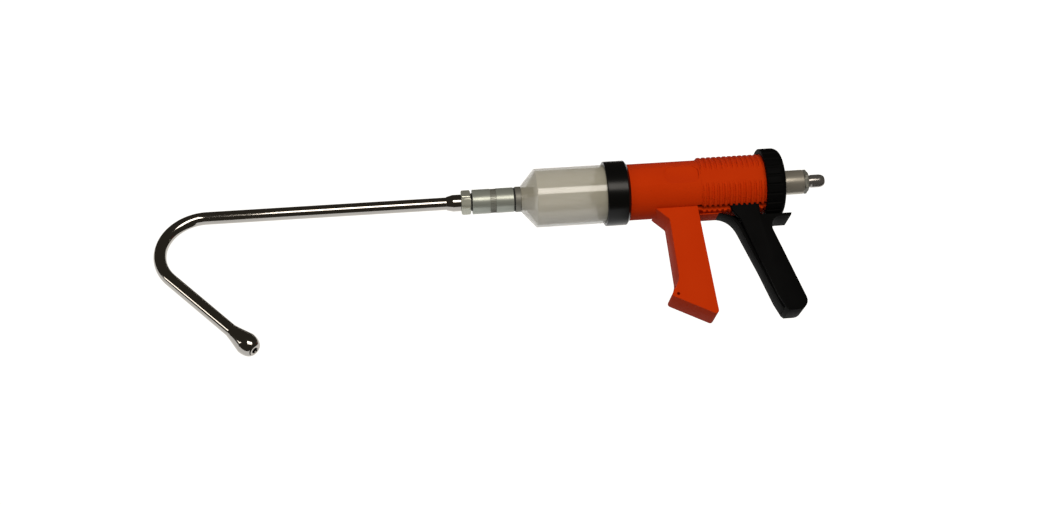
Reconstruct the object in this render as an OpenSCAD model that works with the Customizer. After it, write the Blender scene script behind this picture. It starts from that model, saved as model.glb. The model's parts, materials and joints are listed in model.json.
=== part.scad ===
// Hand-held drench gun: hooked nozzle, dosing barrel, fixed grip and a sliding trigger handle.
// X runs along the barrel, nozzle at -X and hose tail at +X. Z is up. The middle of the grip is the origin.
// Lengths are in millimetres. Drops are measured down from the barrel axis.

/* [Overall] */
// Height of the barrel axis above the middle of the grip
axis_h = 65; // [60:0.5:75]
// Distance of the clamp ring's front face ahead of the middle of the grip
clamp_ahead = 65; // [62:0.5:80]

/* [Lance] */
// Outside diameter of the bent tube
tube_d = 10.6; // [9:0.1:11]
// Wall of the bent tube
tube_wall = 1.4; // [1:0.1:2]
// Straight run of the tube from the ferrule to the bend
lance_len = 198.5; // [120:0.5:260]
// Radius of the bend at the tube's middle
bend_r = 37; // [28:0.5:50]
// How far the tube turns in the bend, in degrees
bend_angle = 132; // [90:1:140]
// Straight run from the bend to the bulb
leg_len = 73; // [45:0.5:100]
// How far the hook is swivelled from the plane of the grip, in degrees
hook_roll = 18; // [0:1:40]
// Largest diameter of the nozzle bulb
bulb_d = 18.2; // [16:0.1:22]
// Length of the nozzle bulb
bulb_len = 26.5; // [24:0.5:36]
// Diameter of the bulb's end face
bulb_face_d = 8.6; // [7:0.1:10]
// Bore of the nozzle
nozzle_bore = 5; // [3:0.1:6]
// Diameter of the ferrule
ferrule_d = 14.2; // [13.6:0.1:16]
// Length of the ferrule in front of the union nut
ferrule_len = 12.5; // [10:0.5:18]
// Length of the ferrule's taper
ferrule_taper = 5.5; // [3:0.5:8]
// Diameter of the ferrule's spigot
spigot_d = 12; // [11:0.1:12.6]
// Width across flats of the union nut and the inlet nut
nut_af = 18; // [17.2:0.1:20]
// Length of the union nut
nut_len = 7.8; // [7:0.1:10]

/* [Outlet valve] */
// Diameter of the valve sleeve
sleeve_d = 20.8; // [19.6:0.1:23]
// Length of the valve sleeve
sleeve_len = 34.9; // [31:0.1:45]
// Diameter of the threaded neck in front of the sleeve
neck_d = 14.6; // [14.2:0.1:15]
// Gap between the union nut and the sleeve
nut_gap = 1.4; // [1:0.1:4]
// Width of the knurled band
knurl_w = 5; // [3:0.1:8]
// Distance from the sleeve's rear face to the knurled band
knurl_back = 14.9; // [6:0.1:18]
// Teeth round the knurled band
knurl_teeth = 44; // [24:1:60]
// Diameter of the valve balls
ball_d = 8; // [7:0.1:9]
// Bore of the valve seats
seat_bore = 6; // [4:0.1:6.4]
// Thickness of the valve seats
seat_t = 3; // [2:0.1:4]
// Diameter of the connector's flange
flange_d = 21.4; // [20.4:0.1:23]
// Thickness of the connector's flange
flange_len = 4.9; // [3:0.1:8]
// Thickness of the gasket between sleeve and flange
sleeve_gasket_t = 1.2; // [1:0.1:3]
// Diameter of the connector's neck in the barrel nose
connector_neck_d = 19.6; // [17:0.1:20]

/* [Barrel] */
// How far the barrel stands out all round from the housing tube
barrel_step = 1.05; // [0.85:0.05:1.35]
// Wall of the barrel
barrel_wall = 2; // [1.6:0.1:2.4]
// Straight length of the barrel in front of the clamp ring
barrel_show = 58.5; // [54:0.5:90]
// Length of the barrel's cone
cone_len = 12.3; // [9:0.1:18]
// Diameter of the barrel at its nose
nose_d = 22; // [21.6:0.1:26]

/* [Clamp ring] */
// Wall of the clamp ring over the barrel
clamp_wall = 2.5; // [2.1:0.1:4]
// Length of the clamp ring
clamp_len = 19.9; // [16:0.1:26]
// Depth of the barrel in the clamp ring
clamp_seat = 9; // [6:0.1:10]
// Thickness of the barrel gasket
barrel_gasket_t = 1.5; // [1:0.1:2.5]

/* [Housing] */
// Diameter of the plain housing tube
housing_d = 47.7; // [47.2:0.1:48.6]
// Wall of the housing tube
housing_wall = 3.4; // [2.4:0.1:4]
// Length of the plain tube up to the ribs
plain_len = 69.5; // [64:0.5:78]
// Length of the ribbed part
thread_len = 66.5; // [58:0.5:76]
// How far the ribbed part stands out all round from the plain tube
rib_step = 0.6; // [0.5:0.05:1]
// Height of the ribs
rib_h = 1.35; // [0.9:0.05:1.6]
// Spacing of the ribs
rib_pitch = 4.5; // [3.5:0.1:6]
// How far above level the flats along the ribs face, in degrees
flat_angle = 2; // [-4:1:8]

/* [Grip] */
// Thickness of the grip from side to side
grip_t = 28.6; // [26:0.1:32]
// Height of the ledge at the top of the grip above the tube's lowest line
ledge_up = 2.35; // [1.85:0.05:3.2]
// Distance of the grip's front edge ahead of the origin
grip_front = 14.1; // [10:0.1:18]
// Distance of the grip's rear edge behind the origin, at the ledge
grip_rear = 10.7; // [8:0.1:11]
// How far the rear edge leans back at the bottom
rear_lean = 6.3; // [2:0.1:9]
// Forward reach of the gusset under the tube
gusset_len = 10.4; // [6:0.1:16]
// Height of the gusset
gusset_drop = 10.2; // [6:0.1:16]
// Drop from the barrel axis to the neck of the foot
foot_neck_drop = 84.5; // [76:0.5:88]
// Drop from the barrel axis to the tip of the foot
foot_tip_drop = 98.2; // [95:0.1:106]
// Drop from the barrel axis to the heel of the grip
heel_drop = 118; // [110:0.1:126]
// Forward reach of the foot
foot_reach = 8.3; // [5:0.1:10]
// Wall of the hollow grip
grip_wall = 3.2; // [2.4:0.1:4]
// Diameter of the lanyard hole in the foot
lanyard_d = 2.6; // [2:0.1:3.2]

/* [Trigger] */
// Thickness of the trigger from side to side
trigger_t = 25; // [22:0.1:27]
// Thickness of a trigger cheek
cheek_t = 4.2; // [3:0.1:5]
// Distance from the cheeks' front edge back to the front of the inlet sleeve
trigger_ahead = 30.4; // [27:0.1:34]
// Length of a cheek in its slot
cheek_len = 23.7; // [22:0.1:24]
// Height of a cheek above the barrel axis
cheek_rise = 4; // [0:0.1:7]
// Drop to the bottom of the trigger
trigger_drop = 117; // [112:0.5:124]
// Distance from the cheek's front edge back to the trigger's toe
toe_back = 34; // [30:0.1:40]
// Distance from the cheek's front edge back to the trigger's heel
trigger_heel_back = 55.3; // [52:0.1:60]
// Reach of the tail behind the cheek's front edge
tail_back = 50.4; // [46:0.1:54]
// Thickness of the trigger's back web
web_t = 3.2; // [2.4:0.1:5]
// Thickness of the front strip along X
strip_t = 3.4; // [2.6:0.1:3.6]
// Diameter of the cross pins
pin_d = 4; // [3:0.1:5]

/* [Plunger] */
// Diameter of the plunger rod
rod_d = 12; // [11:0.1:12.6]
// Bore of the plunger rod
rod_bore = 6; // [4:0.1:7]
// Length of the piston
piston_len = 12; // [10:0.5:14]
// Distance of the piston's front face ahead of the clamp ring's front face
piston_ahead = 4.5; // [2:0.1:6]
// Section of the piston's O-rings
piston_ring_d = 2.6; // [2:0.1:3]
// Thickness of the piston nut
piston_nut_t = 6; // [4:0.1:8]
// Thickness of the rod guide
guide_t = 10; // [8:0.1:12]
// Mean diameter of the return spring
spring_d = 23.8; // [22:0.1:26]
// Wire of the return spring
spring_wire = 2.2; // [1.6:0.1:2.6]
// Turns of the return spring
spring_turns = 12; // [8:1:14]
// Length of the carriage
carriage_len = 22; // [21:0.1:22.8]

/* [Dose knob] */
// Depth of the dose knob outside the ribs
knob_wall = 4.5; // [3.8:0.1:5.2]
// Length of the dose knob
knob_len = 16.8; // [15:0.1:20]
// Chamfer at the knob's front edge
knob_chamfer = 0.5; // [0.3:0.1:2.4]
// Length of the rounding at the knob's rear edge
knob_round = 6.6; // [3:0.1:8]
// Depth of the threaded bore in the knob
knob_bore_len = 13.8; // [13.2:0.1:14]
// Finger grooves round the knob
knob_grooves = 24; // [16:1:30]
// Thickness of the thrust washer
washer_t = 2; // [1:0.1:2.4]

/* [Inlet] */
// Diameter of the inlet sleeve
inlet_d = 20.8; // [19.6:0.1:22]
// Length of the inlet sleeve behind the knob
inlet_out = 20.3; // [18:0.1:30]
// Length of the inlet nut
inlet_nut_len = 3.9; // [3.4:0.1:8]
// Length of the hose tail
tail_len = 14.9; // [12:0.1:22]
// Diameter of the hose tail's bulb
tail_d = 11.1; // [10:0.1:13]
// Bore of the hose tail
tail_bore = 4.8; // [3:0.1:6]

/* [Hidden] */
$fn = 64;
overrun = 1;
// Radial room of a running or seated fit, and the gap between faces that only meet
fit_gap = 0.05;
face_gap = 0.1;
// Radial room round pieces that pass each other freely
pass_gap = 0.3;

// Diameters that follow the housing tube
rib_root_d = housing_d + 2 * rib_step;
rib_d = rib_root_d + 2 * rib_h;
barrel_d = housing_d + 2 * barrel_step;
clamp_d = barrel_d + 2 * clamp_wall;
knob_d = rib_d + 2 * knob_wall;
ledge_drop = housing_d / 2 - ledge_up;

// Stations along the barrel, from the clamp ring to the nozzle
clamp_x0 = -clamp_ahead;
barrel_x1 = clamp_x0 + clamp_seat;
housing_x0 = barrel_x1 + barrel_gasket_t;
shoulder_x = clamp_x0 - barrel_show;
nose_x = shoulder_x - cone_len;
flange_x = nose_x - flange_len;
sleeve_x1 = flange_x - sleeve_gasket_t;
sleeve_x0 = sleeve_x1 - sleeve_len;
nut_x1 = sleeve_x0 - nut_gap;
nut_x0 = nut_x1 - nut_len;
ferrule_x = nut_x0 - ferrule_len;
bend_x = ferrule_x - lance_len;

// Stations along the barrel, from the housing to the hose tail
rib_x = housing_x0 + plain_len;
housing_x1 = rib_x + thread_len;
knob_overlap = 11.9;
knob_x0 = housing_x1 - knob_overlap;
knob_wall_x = knob_x0 + knob_bore_len;
knob_x1 = knob_x0 + knob_len;
washer_x = knob_wall_x - face_gap - washer_t;
inlet_flange_t = 3;
inlet_flange_x = washer_x - face_gap - inlet_flange_t;
inlet_neck = 8;
inlet_x0 = inlet_flange_x - inlet_neck;
inlet_x1 = knob_x1 + inlet_out;
nut_relief = 0.5;
inlet_nut_x0 = inlet_x1 + nut_relief;
inlet_nut_x1 = inlet_nut_x0 + inlet_nut_len;
// Front edge of the trigger's cheeks
trigger_at = inlet_x0 - trigger_ahead;

// Lance details
// Each end of the bend is swept this share of the turn, so the two sweeps overlap
bend_arc_share = 0.6;
tube_bore = tube_d - 2 * tube_wall;
bulb_socket = 6;
bulb_lip = 0.35;
bulb_widest_share = 0.62;
bulb_arc_steps = 9;
ferrule_lip = 0.4;
nut_wall = 2.2;
clip_room = 1.8;
clip_t = 1.2;
clip_bite = 0.8;
clip_gap = 4;
neck_x = nut_x0 + nut_wall + clip_room;
spigot_in = 10;
spigot_x1 = neck_x + spigot_in;
lance_ring_d = 1.4;
lance_ring_x = neck_x + spigot_in / 2;
nut_chamfer = 1;
// A flat of each hexagon faces this far below level, in degrees
hex_turn = 21;

// Outlet valve details
valve_end_room = 0.8;
valve_wall_t = 2;
valve_chamber_x = spigot_x1 + valve_end_room + valve_wall_t;
connector_spigot_d = 16;
connector_in = 7.5;
connector_x0 = sleeve_x1 - connector_in;
seat_x0 = connector_x0 - seat_t;
chamber_d = 14;
seat_chamfer = 0.8;
port_d = 6.4;
knurl_depth = 0.35;
knurl_sink = 0.1;
edge_break = 0.5;
ball_in = sqrt(pow(ball_d / 2, 2) - pow(seat_bore / 2, 2)) - seat_chamfer;
ball_x = seat_x0 - ball_in - face_gap;
valve_spring_d = 6;
valve_wire = 0.8;
valve_turns = 5;
spring_nest = sqrt(pow((ball_d + valve_wire) / 2, 2) - pow(valve_spring_d / 2, 2));
neck_in = 11.3;
nose_socket = 4.5;
nose_ring_d = 1.6;
cone_wall = 1.2;

// Housing details
bore_d = housing_d - 2 * housing_wall;
barrel_bore = barrel_d - 2 * barrel_wall;
counter_len = 7;
clamp_edge = 0.8;
clamp_rear_chamfer = 2.3;
clamp_lip = 0.5;
rib_crest_share = 0.38;
rib_flank_share = 0.16;
rib_count = floor(thread_len / rib_pitch);
flat_cut = 0.5;
// The pockets face this far above the flats, in degrees
pocket_rise = 9;
pocket_len = 29;
pocket_half_w = 8;
pocket_r = 6;
pocket_depth = 1.5;
pocket_back = 1.5;
// At full stroke the cheeks stop this far behind the grip, a little short of the slots' ends
grip_clear = 1.1;
slot_end_room = 0.6;
slot_x0 = grip_rear + grip_clear - slot_end_room;
slot_drop_room = 1.3;
slot_top_drop = 12;

// Grip outline and its hollow
gx = -grip_front;
front_lean = 1.7;
foot_round = 2.5;
neck_round = 14;
gusset_round = 3;
heel_round = 2.6;
ceiling_t = 2.1;
grip_ceiling = housing_d / 2 + ceiling_t;
rib_plate_t = 2.2;
rib_plate_reach = 9;
grip_rib_shares = [0.3, 0.52, 0.74];
lanyard_in = 5.8;
lanyard_up = 1;

// Trigger outline, as distances back from the cheeks' front edge and drops from the barrel axis
cheek_in = trigger_t / 2 - cheek_t;
cheek_turn_up = 0.5;
cheek_turn_drop = rib_d / 2 - cheek_turn_up;
knee_back = 6.4;
knee_fall = 8.9;
knee_drop = cheek_turn_drop + knee_fall;
shin_back = 29.2;
shin_drop = 104.3;
toe_up = 2;
waist_back = 32.2;
tail_gap = 1.4;
tail_drop = knob_d / 2 + tail_gap;
waist_fall = 12.9;
waist_drop = tail_drop + waist_fall;
tail_t = 2.4;
tail_rake = 0.8;
tail_fillet = 8.5;
knee_round = 5;
trigger_heel_round = 8;
slow_curve = 9;
toe_round = 3;
roof_t = 3.2;
roof_setback = 1.6;
floor_t = 3.4;
strip_side_gap = 0.1;
// The strip ends in a thin tongue under the ribs, which on the stroke enters the hollow grip and its gusset
strip_gap = 0.4;
strip_tip_drop = rib_d / 2 + strip_gap;
strip_tip_t = 1;
tongue_room = 0.6;
tongue_wall = 2.6;
tongue_floor_drop = strip_tip_drop + strip_tip_t + pass_gap;
gusset_left = max(0, gusset_len * (1 - (tongue_floor_drop - ledge_drop) / gusset_drop));
tongue_end = gx - gusset_left + tongue_wall;
tongue_back = tongue_end - grip_rear - grip_clear + tongue_room;
strip_tip_back = -10.8;
strip_mid_back = 1.1;
strip_mid_fall = 2.5;
strip_mid_drop = strip_tip_drop + strip_mid_fall;
strip_knee_back = 5.9;
strip_knee_fall = 15.7;
strip_knee_drop = strip_tip_drop + strip_knee_fall;
strip_toe_back = 31.8;
strip_curve_steps = 8;

// Plunger details
piston_x0 = clamp_x0 - piston_ahead;
piston_x1 = piston_x0 + piston_len;
piston_gap = 0.4;
ring_rub_gap = 0.1;
ring_shares = [0.3, 0.7];
collar_d = 16;
collar_t = 2;
rod_tip = 1;
rod_x0 = piston_x0 - piston_nut_t - rod_tip;
rod_socket = 10;
piston_nut_af = 17;
guide_in = 13.5;
guide_x0 = housing_x0 + guide_in;
guide_x1 = guide_x0 + guide_t;
guide_boss_d = 19;
guide_boss_len = 4;
cup_d = 30;
cup_t = 1.5;
cup_lip = 3;
cup_rim = 1;
carriage_lead = 0.8;
carriage_x = trigger_at - carriage_lead;
cup_x = carriage_x - cup_t;
carriage_half_h = 14;
carriage_side_gap = 0.1;
pin_drop = 11;
pin_shares = [0.28, 0.72];
pin_short = 0.4;
rod_clip_t = 1.2;
rod_clip_d = 16;
rod_clip_bite = 0.8;

// Knob and washer details
knob_face_in = 5.3;
knob_face_d = knob_d - 2 * knob_face_in;
groove_d = 2.6;
groove_out = 0.35;
knob_round_steps = 8;
washer_room = 1.45;
washer_d = bore_d - 2 * washer_room;

// Inlet details
inlet_flange_d = 30;
inlet_chamber_x = inlet_x0 + rod_socket + valve_wall_t;
inlet_spigot_in = 7.5;
inlet_seat_x = inlet_x1 - inlet_spigot_in - seat_t;
inlet_ball_x = inlet_seat_x - ball_in - face_gap;
inlet_nut_round = 1.8;
tail_socket = 3.6;
tail_spigot_d = 8;
tail_neck_len = 2.2;
tail_neck_cut = 0.4;
tail_rise = 1.2;
tail_land = 6;
tail_round_steps = 8;

// Points on a quarter ellipse from [along, out_r] to [along + run, in_r]
function quarter(along, run, out_r, in_r, steps) =
    [for (i = [0 : steps]) let (a = 90 * i / steps)
        [along + run * sin(a), in_r + (out_r - in_r) * cos(a)]];

function unit(v) = v / norm(v);

// Points that round the corner b between a and c
function corner(a, b, c, r, n) =
    let (
        u = unit(a - b),
        v = unit(c - b),
        half = acos(u * v) / 2,
        mid = b + unit(u + v) * r / sin(half),
        from = b + u * r / tan(half) - mid,
        to = b + v * r / tan(half) - mid,
        a0 = atan2(from[1], from[0]),
        turn = (atan2(to[1], to[0]) - a0 + 540) % 360 - 180
    )
    [for (i = [0 : n]) mid + r * [cos(a0 + turn * i / n), sin(a0 + turn * i / n)]];

// A closed outline from rows of [x, y, corner radius]
function rounded(rows, n = 6) =
    let (k = len(rows), p = [for (q = rows) [q[0], q[1]]])
    [for (i = [0 : k - 1])
        each (rows[i][2] == 0 ? [p[i]] : corner(p[(i + k - 1) % k], p[i], p[(i + 1) % k], rows[i][2], n))];

// Centre line of a helix along +Z
function helix(len, mean_d, turns, per_turn) =
    [for (i = [0 : turns * per_turn]) let (a = 360 * i / per_turn)
        [mean_d / 2 * cos(a), mean_d / 2 * sin(a), len * i / (turns * per_turn)]];

// Least gap between wires of neighbouring turns, measured on the helix's points
function least_gap(path, wire, per_turn) =
    let (last = len(path) - 1)
    min([for (i = [0 : last], j = [i + per_turn / 2 : last]) norm(path[i] - path[j])]) - wire;

// Places children on the barrel axis at x, with their +Z along +X
module on_axis(x) {
    translate([x, 0, axis_h]) rotate([0, 90, 0]) children();
}

// A solid of revolution from points [along, radius]
module turned(points) {
    rotate_extrude() polygon([for (p = points) [p[1], p[0]]]);
}

module rod(x0, x1, d) {
    on_axis(x0) cylinder(d = d, h = x1 - x0);
}

module ring(x0, x1, out_d, in_d) {
    difference() {
        rod(x0, x1, out_d);
        rod(x0 - overrun, x1 + overrun, in_d);
    }
}

module oring(x, mid_d, section) {
    on_axis(x) rotate_extrude() translate([mid_d / 2, 0]) circle(d = section);
}

// A hexagon prism with turned chamfers at both ends
module hexagon(x0, x1, af, front_cut, rear_cut) {
    span = x1 - x0;
    r = af / 2 / cos(30);
    on_axis(x0) intersection() {
        rotate([0, 0, hex_turn]) cylinder(r = r, h = span, $fn = 6);
        turned([[0, 0], [0, r - front_cut], [front_cut * tan(30), r], [span - rear_cut * tan(30), r],
            [span, r - rear_cut], [span, 0]]);
    }
}

// Extrudes an [x, z] outline from y0 to y1
module slab(points, y0, y1) {
    translate([0, y1, 0]) rotate([90, 0, 0]) linear_extrude(height = y1 - y0) polygon(points);
}

// A wire coil between x0 and x1, as one unbroken tube
module coil(x0, x1, mean_d, wire, turns) {
    per_turn = 8;
    sides = 6;
    path = helix(x1 - x0 - wire, mean_d, turns, per_turn);
    rings = len(path);
    rise = atan2(path[per_turn][2], PI * mean_d);
    points = [for (i = [0 : rings - 1], s = [0 : sides - 1])
        let (a = 360 * i / per_turn, b = 360 * s / sides, out = [cos(a), sin(a), 0],
            up = [sin(a) * sin(rise), -cos(a) * sin(rise), cos(rise)])
        path[i] + wire / 2 * (cos(b) * out + sin(b) * up)];
    skin = [for (i = [0 : rings - 2], s = [0 : sides - 1])
        let (a = i * sides + s, b = i * sides + (s + 1) % sides)
        each [[a, b, a + sides], [b, b + sides, a + sides]]];
    first = [for (s = [1 : sides - 2]) [0, s + 1, s]];
    last = (rings - 1) * sides;
    final = [for (s = [1 : sides - 2]) [last, last + s, last + s + 1]];
    on_axis(x0 + wire / 2) polyhedron(points, concat(skin, first, final));
    echo(coil_gap = least_gap(path, wire, per_turn));
}

module hook_frame() {
    translate([bend_x, 0, axis_h]) rotate([-hook_roll, 0, 0]) children();
}

// Turns children about the centre of the bend, to its end
module bend_turn(angle) {
    translate([0, 0, -bend_r]) rotate([90, 0, 0]) rotate([0, 0, 90 + angle]) children();
}

// Places children at the end of the bend, with their +Z along the lower leg
module leg_frame() {
    bend_turn(bend_angle) translate([bend_r, 0, 0]) rotate([-90, 0, 0]) children();
}

module bend_sweep(d, angle) {
    rotate_extrude(angle = angle) translate([bend_r, 0]) circle(d = d);
}

module bent_rod(d, extra) {
    sweep = bend_angle * bend_arc_share;
    rotate([0, 90, 0]) cylinder(d = d, h = nut_x0 - bend_x + extra);
    bend_turn(0) bend_sweep(d, sweep);
    bend_turn(bend_angle) bend_sweep(d, -sweep);
    leg_frame() cylinder(d = d, h = leg_len + bulb_socket + extra);
}

module hook_tube() {
    color("silver") hook_frame() difference() {
        bent_rod(tube_d, 0);
        bent_rod(tube_bore, overrun);
    }
}

module nozzle_bulb() {
    widest = bulb_len * bulb_widest_share;
    color("silver") hook_frame() leg_frame() translate([0, 0, leg_len]) difference() {
        turned(concat([[0, 0], [0, tube_d / 2 + bulb_lip]],
            quarter(widest, bulb_len - widest, bulb_d / 2, bulb_face_d / 2, bulb_arc_steps),
            [[bulb_len, 0]]));
        translate([0, 0, -overrun]) cylinder(d = tube_d + 2 * fit_gap, h = bulb_socket + overrun);
        cylinder(d = nozzle_bore, h = bulb_len + overrun);
    }
}

module tube_ferrule() {
    spigot_end = spigot_x1 - ferrule_x;
    clip_x = nut_x0 + nut_wall + face_gap;
    color("silver") difference() {
        on_axis(ferrule_x) turned([[0, 0], [0, tube_d / 2 + ferrule_lip], [ferrule_taper, ferrule_d / 2],
            [ferrule_len - face_gap, ferrule_d / 2], [ferrule_len - face_gap, spigot_d / 2],
            [spigot_end, spigot_d / 2], [spigot_end, 0]]);
        rod(ferrule_x - overrun, nut_x0, tube_d + 2 * fit_gap);
        rod(ferrule_x, spigot_x1 + overrun, tube_bore);
        ring(clip_x, clip_x + clip_t + face_gap, spigot_d + overrun, spigot_d - 2 * clip_bite);
        ring(lance_ring_x - lance_ring_d / 2 - face_gap, lance_ring_x + lance_ring_d / 2 + face_gap,
            spigot_d + overrun, spigot_d - 2 * lance_ring_d);
    }
}

module lance_clip() {
    x0 = nut_x0 + nut_wall + face_gap;
    color("dimgray") difference() {
        ring(x0, x0 + clip_t, neck_d - clip_bite, spigot_d - 2 * clip_bite + 2 * fit_gap);
        translate([x0 - overrun, -clip_gap / 2, axis_h]) cube([clip_t + 2 * overrun, clip_gap, neck_d]);
    }
}

module lance_oring() {
    color("black") oring(lance_ring_x, spigot_d + 2 * pass_gap - 2 * fit_gap - lance_ring_d, lance_ring_d);
}

module lance_nut() {
    color("lightgray") difference() {
        hexagon(nut_x0, nut_x1, nut_af, nut_chamfer, nut_chamfer);
        rod(nut_x0 - overrun, nut_x1, spigot_d + 2 * fit_gap);
        rod(nut_x0 + nut_wall, nut_x1 + overrun, neck_d + 2 * fit_gap);
    }
}

module valve_sleeve() {
    knurl_x1 = sleeve_x1 - knurl_back;
    tip_r = sleeve_d / 2 - knurl_sink;
    root_r = tip_r - knurl_depth;
    span = sleeve_x1 - sleeve_x0;
    r = sleeve_d / 2;
    teeth = [for (i = [0 : 2 * knurl_teeth - 1]) let (a = 180 * i / knurl_teeth)
        (tip_r - (i % 2) * knurl_depth) * [cos(a), sin(a)]];
    color("lightgray") difference() {
        union() {
            rod(neck_x, sleeve_x0 + overrun, neck_d);
            on_axis(sleeve_x0) turned([[0, 0], [0, r - edge_break], [edge_break, r],
                [span - knurl_back - knurl_w, r], [span - knurl_back - knurl_w, root_r - edge_break],
                [span - knurl_back, root_r - edge_break], [span - knurl_back, r], [span - edge_break, r],
                [span, r - edge_break], [span, 0]]);
            on_axis(knurl_x1 - knurl_w) linear_extrude(height = knurl_w) polygon(teeth);
        }
        rod(neck_x - overrun, spigot_x1 + valve_end_room, spigot_d + 2 * pass_gap);
        rod(spigot_x1, valve_chamber_x + overrun, port_d);
        rod(valve_chamber_x, seat_x0 + overrun, chamber_d);
        rod(seat_x0, sleeve_x1 + overrun, connector_spigot_d + 2 * fit_gap);
    }
}

// A valve seat whose chamfered mouth faces -X
module seat(x0) {
    color("ivory") difference() {
        ring(x0, x0 + seat_t, connector_spigot_d, seat_bore);
        on_axis(x0 - overrun) cylinder(r1 = seat_bore / 2 + seat_chamfer + overrun, r2 = seat_bore / 2,
            h = seat_chamfer + overrun);
    }
}

module ball(x) {
    color("silver") translate([x, 0, axis_h]) sphere(d = ball_d);
}

module valve_spring(x0, at_ball) {
    color("gray") coil(x0 + face_gap, at_ball - spring_nest + valve_wire / 2 - face_gap, valve_spring_d,
        valve_wire, valve_turns);
}

module outlet_seat() {
    seat(seat_x0);
}

module outlet_ball() {
    ball(ball_x);
}

module outlet_spring() {
    valve_spring(valve_chamber_x, ball_x);
}

module sleeve_gasket() {
    color("black") ring(sleeve_x1, flange_x, sleeve_d - 2 * edge_break, connector_spigot_d + 2 * fit_gap);
}

module outlet_connector() {
    neck_x1 = nose_x + neck_in;
    ring_x = nose_x + nose_socket / 2;
    color("lightgray") difference() {
        union() {
            rod(connector_x0, flange_x + overrun, connector_spigot_d);
            on_axis(flange_x) turned([[0, 0], [0, flange_d / 2 - edge_break], [edge_break, flange_d / 2],
                [flange_len - edge_break, flange_d / 2], [flange_len, flange_d / 2 - edge_break],
                [flange_len, 0]]);
            rod(nose_x - overrun, neck_x1, connector_neck_d);
        }
        rod(connector_x0 - overrun, neck_x1 + overrun, seat_bore + 2 * seat_chamfer);
        ring(ring_x - nose_ring_d / 2 - face_gap, ring_x + nose_ring_d / 2 + face_gap,
            connector_neck_d + overrun, connector_neck_d - 2 * nose_ring_d);
    }
}

module nose_oring() {
    color("black") oring(nose_x + nose_socket / 2, connector_neck_d - nose_ring_d, nose_ring_d);
}

module barrel() {
    span = barrel_x1 - nose_x;
    socket_r = connector_neck_d / 2 + fit_gap;
    color("gainsboro", 0.6) on_axis(nose_x) turned([[0, socket_r], [0, nose_d / 2],
        [cone_len, barrel_d / 2], [span, barrel_d / 2], [span, barrel_bore / 2],
        [cone_len + cone_wall, barrel_bore / 2], [nose_socket, socket_r]]);
}

module barrel_gasket() {
    color("black") ring(barrel_x1, housing_x0, barrel_d, barrel_bore);
}

module clamp_ring() {
    r = clamp_d / 2;
    seat_end = housing_x0 - clamp_x0;
    color("#222222") on_axis(clamp_x0) turned([[0, barrel_d / 2 + fit_gap], [0, r - clamp_edge],
        [clamp_edge, r], [clamp_len - clamp_rear_chamfer, r], [clamp_len, housing_d / 2 + clamp_lip],
        [clamp_len, housing_d / 2 + fit_gap], [seat_end, housing_d / 2 + fit_gap],
        [seat_end, barrel_d / 2 + fit_gap]]);
}

// Outline of the housing tube and its ribs, as [along, radius]
function housing_points() =
    let (root = rib_root_d / 2, crest = rib_d / 2, flank = rib_pitch * rib_flank_share,
        land = rib_pitch * rib_crest_share)
    concat([[0, 0], [0, housing_d / 2], [plain_len, housing_d / 2], [plain_len, root]],
        [for (i = [0 : rib_count - 1]) let (x = plain_len + flank + i * rib_pitch)
            each [[x, root], [x + flank, crest], [x + flank + land, crest], [x + 2 * flank + land, root]]],
        [[plain_len + thread_len, root], [plain_len + thread_len, 0]]);

function grip_points() =
    let (top = axis_h - ledge_drop, foot_x = gx + front_lean - foot_reach, heel_x = grip_rear + rear_lean,
        floor_z = axis_h - heel_drop)
    rounded([[gx - gusset_len, top, 0], [gx, top - gusset_drop, gusset_round],
        [gx + front_lean, axis_h - foot_neck_drop, neck_round],
        [foot_x, axis_h - foot_tip_drop, foot_round], [heel_x, floor_z, heel_round], [grip_rear, top, 0]]);

function grip_hollow_points() =
    let (inner = gx + front_lean + grip_wall, far = grip_rear + rear_lean + overrun,
        fall = (heel_drop - foot_tip_drop) / (grip_rear + rear_lean - gx - front_lean + foot_reach),
        floor_up = grip_wall * sqrt(1 + fall * fall),
        start = axis_h - foot_tip_drop - fall * foot_reach + floor_up)
    [[inner, axis_h - grip_ceiling], [inner, start - fall * grip_wall],
        [far, start - fall * (far - inner + grip_wall)], [far, axis_h - grip_ceiling]];

module side_flats(side) {
    reach = rib_d / 2;
    on_axis(rib_x) rotate([0, 0, side * (90 + flat_angle)])
        translate([rib_root_d / 2 - flat_cut, -reach, -flat_cut])
            cube([reach, 2 * reach, thread_len + overrun]);
    on_axis(rib_x - pocket_back - pocket_len) rotate([0, 0, side * (90 + flat_angle + pocket_rise)])
        translate([housing_d / 2 - pocket_depth, 0, 0]) rotate([0, 90, 0])
            linear_extrude(height = 2 * overrun) polygon(rounded([
                [0, -pocket_half_w, pocket_r], [0, pocket_half_w, pocket_r],
                [-pocket_len, pocket_half_w, pocket_r], [-pocket_len, -pocket_half_w, pocket_r]]));
}

module trigger_slot(side) {
    y0 = cheek_in - pass_gap;
    w = cheek_t + 2 * pass_gap;
    bottom = axis_h - rib_d / 2 - slot_drop_room;
    translate([slot_x0, side > 0 ? y0 : -y0 - w, bottom])
        cube([housing_x1 - slot_x0 + overrun, w, axis_h - slot_top_drop - bottom]);
}

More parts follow.
